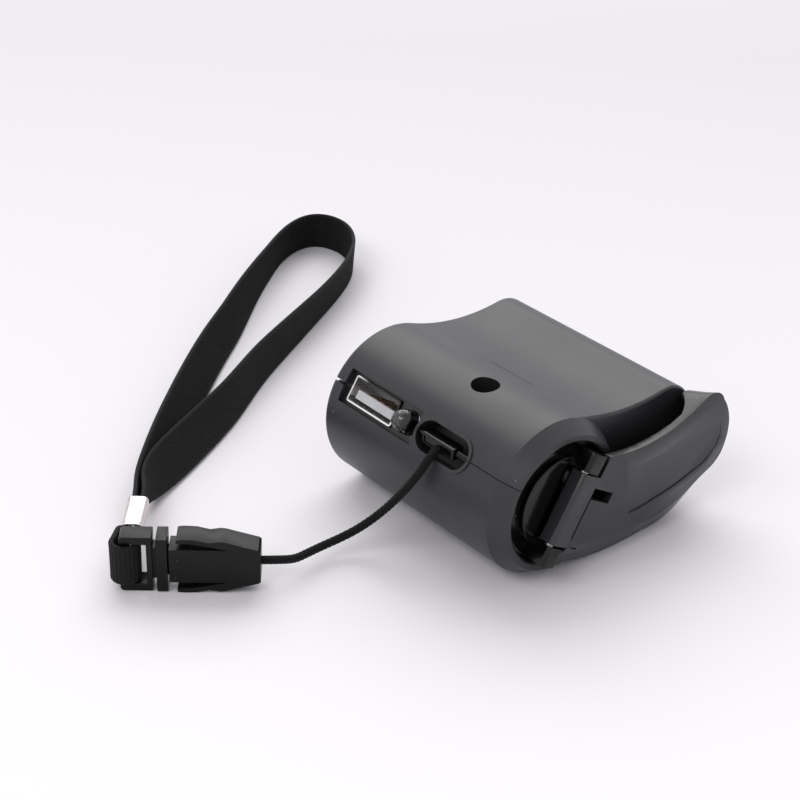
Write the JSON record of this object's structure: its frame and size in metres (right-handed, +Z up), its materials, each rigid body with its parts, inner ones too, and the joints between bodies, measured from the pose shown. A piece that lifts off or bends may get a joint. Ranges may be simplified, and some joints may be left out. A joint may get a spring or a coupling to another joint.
{
  "type": "hand crank phone charger",
  "caption": "Palm-sized dynamo charger with a two-lobed casing, folding crank arm, charging socket, lamp and wrist strap on a quick-release buckle.",
  "frame": {"origin": "centre of the charger's bounding box in plan, on the surface it stands on; the lanyard is not counted", "axes": "+Z up; +X along the crank's axis, from the plain end to the crank; +Y from the big lobe with the socket to the small lobe"},
  "size_m": [0.1543, 0.1317, 0.034],
  "materials": {
    "charcoal_abs": "satin",
    "black_abs": "gloss",
    "crank_abs": "satin",
    "black_screw": "satin",
    "bright_steel": "brushed",
    "bush_brass": "satin",
    "gear_white": "satin",
    "gear_black": "satin",
    "plate_grey": "satin",
    "can_zinc": "satin",
    "ferrite": "matt",
    "winding_copper": "satin",
    "board_green": "satin",
    "nickel": "bright",
    "tongue_grey": "satin",
    "gold": "bright",
    "lamp_clear": "clear",
    "part_black": "satin",
    "wire_red": "satin",
    "cord_black": "braided",
    "buckle_black": "satin",
    "strap_black": "ribbed webbing",
    "crimp_chrome": "polished"
  },
  "bodies": {
    "casing": {"upper_shell": "charcoal_abs", "lower_shell": "charcoal_abs", "shell_screws": "black_screw", "lanyard_bar": "black_abs", "front_bush": "bush_brass", "rear_bush": "bush_brass", "counter_pin": "bright_steel", "gear_plate": "plate_grey", "plate_screws": "bright_steel", "generator_can": "can_zinc", "generator_magnets": "ferrite", "generator_cap": "part_black", "generator_screws": "bright_steel", "generator_terminals": "gold", "generator_wires": "wire_red", "circuit_board": "board_green", "usb_shell": "nickel", "usb_tongue": "tongue_grey", "usb_contacts": "gold", "led_lens": "lamp_clear", "led_leads": "bright_steel", "capacitor": "part_black", "regulator_chip": "part_black", "rectifier_diodes": "part_black", "storage_coil": "winding_copper", "lanyard_cord": "cord_black", "buckle_plug": "buckle_black", "buckle_socket": "buckle_black", "strap_tab": "strap_black", "strap_crimp": "crimp_chrome", "wrist_strap": "strap_black"},
    "crank": {"crank_hub": "black_abs", "hinge_pin": "bright_steel", "drive_shaft": "bright_steel", "shaft_clip": "bright_steel", "drive_gear": "gear_white"},
    "arm": {"crank_arm": "crank_abs", "knob_pin": "bright_steel"},
    "knob": {"crank_knob": "black_abs"},
    "counter": {"compound_gear": "gear_white"},
    "rotor": {"generator_rotor": "winding_copper", "rotor_shaft": "bright_steel", "motor_pinion": "gear_black"}
  },
  "joints": [
    {"name": "crank_spin", "type": "hinge", "parent": "casing", "child": "crank", "pos_m": [0, -0.0146, 0.017], "axis": [1, 0, 0], "continuous": true},
    {"name": "arm_fold", "type": "hinge", "parent": "crank", "child": "arm", "pos_m": [0.02672, -0.01477, 0.0171], "axis": [0, -0.518, -0.8554], "range_deg": [0, 180]},
    {"name": "knob_spin", "type": "hinge", "parent": "arm", "child": "knob", "pos_m": [0, 0.0226, 0.0173], "axis": [1, 0, 0], "continuous": true},
    {"name": "counter_spin", "type": "hinge", "parent": "casing", "child": "counter", "pos_m": [0, 0.00233, 0.013], "axis": [1, 0, 0], "continuous": true},
    {"name": "rotor_spin", "type": "hinge", "parent": "casing", "child": "rotor", "pos_m": [0, 0.01553, 0.013], "axis": [1, 0, 0], "continuous": true}
  ],
  "couplings": [
    {"joint": "counter_spin", "follows": "crank_spin", "ratio": -3.8333},
    {"joint": "rotor_spin", "follows": "crank_spin", "ratio": 10.222}
  ]
}
